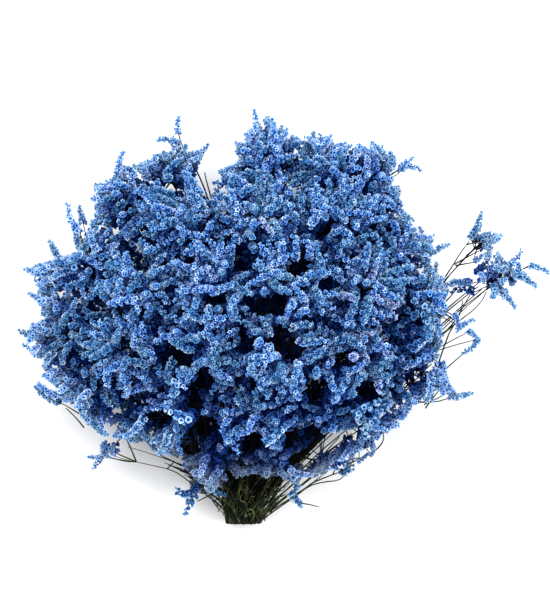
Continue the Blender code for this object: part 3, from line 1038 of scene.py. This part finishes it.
def makeStem(stem, trunk, branches, material, openCells, rng):
    curves = {kind: newTubes(kind, sides=6 if kind == "stem" else 4, smooth=2) for kind in stems["tones"]}
    slender = stems["slender"].get(stem, 1)
    cut, fine = stems["cutRadius"] * slender, stems["tipRadius"] * slender
    across = bunch["neckDirection"].cross(Vector((0, 0, 1))).normalized()
    above = across.cross(bunch["neckDirection"])
    if len(trunk) == 1:
        trunk = [trunk[0], trunk[0] + bunch["neckDirection"] * 3 * mm]
    trunk = cutAt(trunk)
    for number, (head, branch) in enumerate(branches.items()):
        branch = [Vector(point) * mm for point in courses[head]] if head in courses else branch
        line = trunk + branch
        total = len(line) - 1
        points = []
        for i, point in enumerate(line):
            wave = noise.noise_vector(point * 35 + Vector((number, 0, 0)) * (i > len(trunk))) * stems["crook"]
            points.append(point + wave * (0 < i < total))
        radii = [cut + (fine - cut) * (i / total) ** 0.8 for i in range(total + 1)]
        if number:
            first = len(trunk) - 1
            points, radii = points[first:], radii[first:]
        addTube(curves["stem"], points, radii)
        # finer stems keep to the branch from its fork to its head
        for _ in range(0 if head in courses else stems["fineEach"]):
            side = strayVector(rng).normalized() * stems["fineAway"]
            twist = rng.uniform(2, 5)
            beside = []
            for i, point in enumerate(branch):
                share = i / max(1, len(branch) - 1)
                bow = math.sin(math.pi * min(1, share * 1.1)) * (0.7 + 0.6 * math.sin(twist * share * 3))
                beside.append(point + side * bow + noise.noise_vector(point * 60 + side * 900) * 1.2 * mm)
            radii = [stems["fineRadius"] * (1 - 0.25 * i / len(beside)) for i in range(len(beside))]
            addTube(curves["fine"], beside, radii)
    for _ in range(stems["strands"]):
        line = trunk + rng.choice(list(branches.values()))
        angle, out = rng.uniform(0, math.tau), math.sqrt(rng.random()) * stems["neckRadius"]
        begin = bunch["neckMiddle"] + (across * math.cos(angle) + above * math.sin(angle)) * out
        begin.x += stems["neckShift"]
        offset = begin - line[0]
        reach = rng.uniform(*stems["strandLength"])
        wild = rng.uniform(*stems["strandWave"])
        seed = rng.uniform(0, 90)
        shares = [i / 7 for i in range(8)]
        points = []
        for share in shares:
            wave = noise.noise_vector(Vector((seed, share * 2.6, seed))) * wild * min(1, share * 5)
            point = alongLine(line, share * reach) + offset * (1 - share) ** 1.3 + wave
            point.z = max(point.z, 1 * mm)
            points.append(point)
        thick = rng.uniform(*stems["strandRadius"])
        tone = rng.choice(("dark", "dark", "middle", "pale"))
        addTube(curves[tone], cutAt(points), [thick * (1 - stems["strandTaper"] * share) for share in shares])
    # fine curled twigs lie over the neck
    for _ in range(stems["curls"]):
        line = trunk + rng.choice(list(branches.values()))
        begin, reach = rng.uniform(*stems["curlBegin"]), rng.uniform(*stems["curlLength"])
        angle, out = rng.uniform(0.9, 2.2), rng.uniform(0.2, 0.8) * stems["neckRadius"]
        offset = (across * math.cos(angle) + above * math.sin(angle)) * out
        size, phase = rng.uniform(*stems["curlRadius"]), rng.uniform(0, 6)
        turn = rng.choice((-1, 1)) * rng.uniform(*stems["curlTurn"])
        points = []
        for i in range(9):
            share = i / 8
            swing = across * math.cos(phase + turn * share) + above * math.sin(phase + turn * share) * 0.6
            point = alongLine(line, begin + share * reach) + offset + swing * size
            point += bunch["neckDirection"] * math.sin(phase + turn * share * 1.3) * size * 0.8
            point.z = max(point.z, 1 * mm)
            point.y = max(point.y, stems["cutLine"])
            points.append(point)
        tone = rng.choice(("middle", "pale"))
        addTube(curves[tone], points, [rng.uniform(*stems["curlTwig"]) * mm] * len(points))
    thick, thin = stems["shootRadius"]
    for shoot in shoots.get(stem, ()):
        points = []
        steps = len(shoot) - 1
        for i, point in enumerate(shoot):
            wobble = strayVector(rng) * stems["shootWobble"] * mm * (0 < i < steps)
            points.append(Vector(point) * mm + wobble)
        if points[0].y < -150 * mm and points[0].x < -10 * mm:
            points = cutAt(points)
        addTube(curves["shoot"], points, [thick + (thin - thick) * i / steps for i in range(steps + 1)])
    edit = bmesh.new()
    strandTone = edit.verts.layers.float.new("strandTone")
    for kind, curve in curves.items():
        first = len(edit.verts)
        if len(curve.splines):
            edit.from_mesh(meshFromTubes(curve))
        edit.verts.ensure_lookup_table()
        for vert in edit.verts[first:]:
            vert[strandTone] = stems["tones"][kind]
    mesh = bpy.data.meshes.new("stems_" + stem[-2:])
    edit.to_mesh(mesh)
    edit.free()
    mesh.materials.append(material)
    # the openness attribute, from which the stems get painted shade
    paintOpenness(mesh, *openCells)
    piece = addObject(mesh.name, mesh)
    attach(piece, "root")
    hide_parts(stem)


# materials
def newMaterial(name):
    material = bpy.data.materials.new(name)
    material.use_nodes = True
    return material, material.node_tree, material.node_tree.nodes["Principled BSDF"]


def setRamp(ramp, stops):
    elements = ramp.color_ramp.elements
    for number, (place, colour) in enumerate(stops):
        stop = elements[number] if number < 2 else elements.new(place)
        stop.position = place
        stop.color = (*colour, 1)


def attributeOf(tree, name):
    node = tree.nodes.new("ShaderNodeAttribute")
    node.attribute_name = name
    return node.outputs["Fac"]


# a value whose range is changed from start to end into first to last
def ranged(tree, source, first, last, start=0, end=1):
    node = tree.nodes.new("ShaderNodeMapRange")
    for name, number in (("From Min", start), ("From Max", end), ("To Min", first), ("To Max", last)):
        node.inputs[name].default_value = number
    tree.links.new(source, node.inputs["Value"])
    return node


def combined(tree, operation, one, two):
    node = tree.nodes.new("ShaderNodeMath")
    node.operation = operation
    tree.links.new(one, node.inputs[0])
    tree.links.new(two, node.inputs[1])
    return node.outputs["Value"]


def noiseOf(tree, places, scale, detail):
    node = tree.nodes.new("ShaderNodeTexNoise")
    node.inputs["Scale"].default_value = scale
    node.inputs["Detail"].default_value = detail
    tree.links.new(places.outputs["Object"], node.inputs["Vector"])
    return node.outputs["Fac"]


# the colour goes through the painted shade group to the shader, and a bump from a height with it
def finishShader(tree, shader, paintedShadeGroup, values, colour, height):
    link = tree.links.new
    inside = tree.nodes.new("ShaderNodeGroup")
    inside.node_tree = paintedShadeGroup
    inside.inputs["Deep"].default_value = values["deep"]
    link(colour, inside.inputs["Color"])
    link(inside.outputs["Color"], shader.inputs["Base Color"])
    bump = tree.nodes.new("ShaderNodeBump")
    bump.inputs["Strength"].default_value = values["bumpStrength"]
    bump.inputs["Distance"].default_value = values["bumpDepth"]
    link(height, bump.inputs["Height"])
    link(bump.outputs["Normal"], shader.inputs["Normal"])
    shader.inputs["Roughness"].default_value = values["roughness"]
    shader.inputs["Specular IOR Level"].default_value = values["specular"]


# painted shade: darkens a colour towards a deep one where the bunch is closed over
def makePaintedShadeGroup():
    group = bpy.data.node_groups.new("paintedShadeInside", "ShaderNodeTree")
    for name, way in (("Color", "INPUT"), ("Deep", "INPUT"), ("Color", "OUTPUT")):
        group.interface.new_socket(name, in_out=way, socket_type="NodeSocketColor")
    takes, gives = group.nodes.new("NodeGroupInput"), group.nodes.new("NodeGroupOutput")
    opened = ranged(group, attributeOf(group, "open"), 0, 1, *cover["shownFrom"])
    opened.interpolation_type = "SMOOTHSTEP"
    darker = group.nodes.new("ShaderNodeMix")
    darker.data_type = "RGBA"
    darker.blend_type = "MULTIPLY"
    darker.inputs["Factor"].default_value = 1
    chosen = group.nodes.new("ShaderNodeMix")
    chosen.data_type = "RGBA"
    link = group.links.new
    link(takes.outputs["Color"], darker.inputs["A"])
    link(takes.outputs["Deep"], darker.inputs["B"])
    link(opened.outputs["Result"], chosen.inputs["Factor"])
    link(darker.outputs["Result"], chosen.inputs["A"])
    link(takes.outputs["Color"], chosen.inputs["B"])
    link(chosen.outputs["Result"], gives.inputs["Color"])
    return group


bloom = {
    "ramp": (
        (0.07, (0.0002, 0.002, 0.017)),
        (0.17, (0.001, 0.034, 0.18)),
        (0.31, (0.032, 0.168, 0.46)),
        (0.5, (0.20, 0.385, 0.68)),
        (0.72, (0.57, 0.68, 0.80)),
        (1.0, (0.90, 0.93, 0.93)),
    ),
    # the colour of the painted shade where the bunch is closed over
    "deep": (0.002, 0.12, 0.42, 1),
    "fadedReach": (0.045, 0.14),
    "fadedColour": (0.5, 0.34),
    "lilacPlace": (54, -2),
    "lilacReach": 30 * mm,
    "lilacRange": (0.3, 0.9),
    "lilacChance": (0.02, 0.42),
    "lilacHue": 0.018,
    "lilacColour": 0.7,
    "hue": (0.488, 0.508),
    "value": (0.62, 1.16),
    "patchScale": 22,
    "grainScale": 1800,
    "bumpStrength": 0.4,
    "bumpDepth": 0.0003,
    "roughness": 0.8,
    "specular": 0.22,
}


def makeBloomMaterial(paintedShadeGroup):
    material, tree, shader = newMaterial("dyed_florets")
    new, link = tree.nodes.new, tree.links.new
    tone, lilac = attributeOf(tree, "spikeTone"), attributeOf(tree, "lilac")
    ramp = new("ShaderNodeValToRGB")
    setRamp(ramp, bloom["ramp"])
    link(attributeOf(tree, "bloomShade"), ramp.inputs["Fac"])
    places = new("ShaderNodeTexCoord")
    # each spike's own brightness, with wide patches of lighter and darker ones
    both = combined(tree, "ADD", tone, noiseOf(tree, places, bloom["patchScale"], 3))
    value = ranged(tree, both, *bloom["value"], 0.3, 1.6)
    hue = ranged(tree, tone, *bloom["hue"])
    toLilac = new("ShaderNodeMath")
    toLilac.operation = "MULTIPLY_ADD"
    toLilac.inputs[1].default_value = bloom["lilacHue"]
    link(lilac, toLilac.inputs[0])
    link(hue.outputs["Result"], toLilac.inputs[2])
    shifted = new("ShaderNodeHueSaturation")
    link(ramp.outputs["Color"], shifted.inputs["Color"])
    link(toLilac.outputs["Value"], shifted.inputs["Hue"])
    paler = ranged(tree, lilac, 1, bloom["lilacColour"])
    # florets near the neck are duller and darker
    nearNeck = attributeOf(tree, "faded")
    for least, through, shiftedInput in zip(bloom["fadedColour"], (paler, value), ("Saturation", "Value")):
        faded = ranged(tree, nearNeck, 1, least)
        product = combined(tree, "MULTIPLY", faded.outputs["Result"], through.outputs["Result"])
        link(product, shifted.inputs[shiftedInput])
    grain = noiseOf(tree, places, bloom["grainScale"], 2)
    finishShader(tree, shader, paintedShadeGroup, bloom, shifted.outputs["Color"], grain)
    return material


bark = {
    "ramp": ((0.32, (0.004, 0.006, 0.002)), (0.52, (0.020, 0.027, 0.010)), (0.75, (0.11, 0.125, 0.06))),
    "toneRange": (0.12, 1.9),
    # the colour of the painted shade on stems where the bunch is closed over
    "deep": (0.12, 0.14, 0.10, 1),
    "scale": 110,
    "bumpStrength": 0.5,
    "bumpDepth": 0.0004,
    "roughness": 0.75,
    "specular": 0.2,
}


def makeBarkMaterial(paintedShadeGroup):
    material, tree, shader = newMaterial("dried_bark")
    new, link = tree.nodes.new, tree.links.new
    mottle = noiseOf(tree, new("ShaderNodeTexCoord"), bark["scale"], 5)
    ramp = new("ShaderNodeValToRGB")
    setRamp(ramp, bark["ramp"])
    link(mottle, ramp.inputs["Fac"])
    # each strand's own brightness
    value = ranged(tree, attributeOf(tree, "strandTone"), *bark["toneRange"])
    toned = new("ShaderNodeHueSaturation")
    link(ramp.outputs["Color"], toned.inputs["Color"])
    link(value.outputs["Result"], toned.inputs["Value"])
    finishShader(tree, shader, paintedShadeGroup, bark, toned.outputs["Color"], mottle)
    return material


# floor, lights and world
studio = {
    "floorSize": 6,
    "floorColour": (0.86, 0.86, 0.87, 1),
    "skyColour": (1, 1, 1, 1),
    "skyStrength": 0.85,
    "key": {"place": (-0.55, 0.75, 2.1), "size": 1.3, "power": 38},
    "fill": {"place": (1.3, 0.0, 1.6), "size": 1.6, "power": 27},
}


def addStudio():
    edit = bmesh.new()
    bmesh.ops.create_grid(edit, x_segments=1, y_segments=1, size=studio["floorSize"] / 2)
    mesh = bpy.data.meshes.new("floor")
    edit.to_mesh(mesh)
    edit.free()
    floor = addObject("floor", mesh)
    material, _, shader = newMaterial("pale_floor")
    shader.inputs["Base Color"].default_value = studio["floorColour"]
    shader.inputs["Roughness"].default_value = 0.9
    mesh.materials.append(material)
    floor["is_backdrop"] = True
    world = bpy.data.worlds.new("sky")
    world.use_nodes = True
    sky = world.node_tree.nodes["Background"]
    sky.inputs["Color"].default_value = studio["skyColour"]
    sky.inputs["Strength"].default_value = studio["skyStrength"]
    bpy.context.scene.world = world
    for name in ("key", "fill"):
        data = bpy.data.lights.new(name, "AREA")
        data.size = studio[name]["size"]
        data.energy = studio[name]["power"]
        lamp = bpy.data.objects.new(name, data)
        lamp.location = studio[name]["place"]
        aim = Vector((0, 0, 0.1)) - lamp.location
        lamp.rotation_euler = aim.to_track_quat("-Z", "Y").to_euler()
        bpy.context.scene.collection.objects.link(lamp)
    bpy.context.scene.view_settings.view_transform = "Standard"
    bpy.context.scene.view_settings.look = "Medium High Contrast"


addCamera()
addStudio()
print("camera, floor and lights made")

paintedShadeInside = makePaintedShadeGroup()
bloomMaterial = makeBloomMaterial(paintedShadeInside)
barkMaterial = makeBarkMaterial(paintedShadeInside)
draws = random.Random(bunch["seed"])
noise.seed_set(bunch["seed"])
spikeKinds = {}
florets = {lobed: [makeFloret(lobed, draws) for _ in range(floret["kinds"])] for lobed in (False, True)}
for style, values in spike["styles"].items():
    for length in spike["lengths"]:
        count = spike["kindsOfEach"]
        spikeKinds[length, style] = [makeSpike(length, values, florets, draws) for _ in range(count)]
print("spikes made, faces each:", [len(kinds[0].polygons) for kinds in spikeKinds.values()])

stemLines = {stem: readStem(stem) for stem in sorted(nodes) if stem.startswith("stem_")}
heads = {}
for _, branches in stemLines.values():
    for head, branch in branches.items():
        heads[head] = readHead(head, branch[-1])
sprayPlan = planSprays(heads, draws)
openCells = makeCover(sprayPlan)
plainDeepOnes(sprayPlan, *openCells)
styles = [one["style"] for some in sprayPlan.values() for one in some]
print("spikes planned:", {style: styles.count(style) for style in spike["styles"]})
for head, (middle, foot, _) in heads.items():
    makeHead(head, middle, foot, sprayPlan[head], spikeKinds, bloomMaterial, barkMaterial, openCells, draws)
print("sprays made")
for stem, (trunk, branches) in stemLines.items():
    makeStem(stem, trunk, branches, barkMaterial, openCells, draws)
faces = (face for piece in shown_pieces() if piece.type == "MESH" for face in piece.data.polygons)
print("triangles:", sum(len(face.vertices) - 2 for face in faces))
